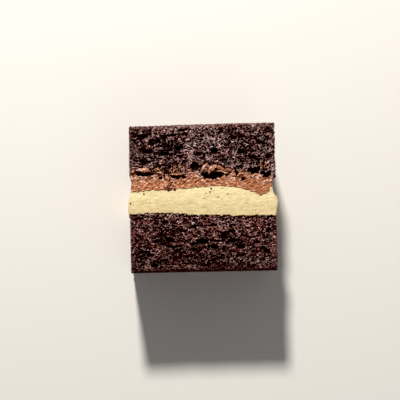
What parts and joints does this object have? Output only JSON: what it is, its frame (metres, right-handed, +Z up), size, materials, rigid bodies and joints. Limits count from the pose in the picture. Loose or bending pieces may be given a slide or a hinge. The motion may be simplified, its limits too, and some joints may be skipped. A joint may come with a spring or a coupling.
{
  "type": "opera cake slice",
  "caption": "Cut slice of chocolate layer cake lying on its side, with pale vanilla cream and milk chocolate cream between dark sponge layers.",
  "frame": {"origin": "middle of the flat cut that the slice lies on, at the centre of the bounding box's underside", "axes": "+X across the slice, along its layers; +Y from the cake's own underside to its own top, through the layers; +Z up, from the cut it lies on to the cut that shows"},
  "size_m": [0.0716, 0.0703, 0.045],
  "materials": {
    "bottom_sponge": "matte",
    "pale_cream": "satin",
    "cocoa_cream": "satin",
    "top_sponge": "matte"
  },
  "bodies": {
    "root": {"bottom_sponge": "bottom_sponge", "pale_cream": "pale_cream", "cocoa_cream": "cocoa_cream", "top_sponge": "top_sponge"}
  },
  "joints": []
}
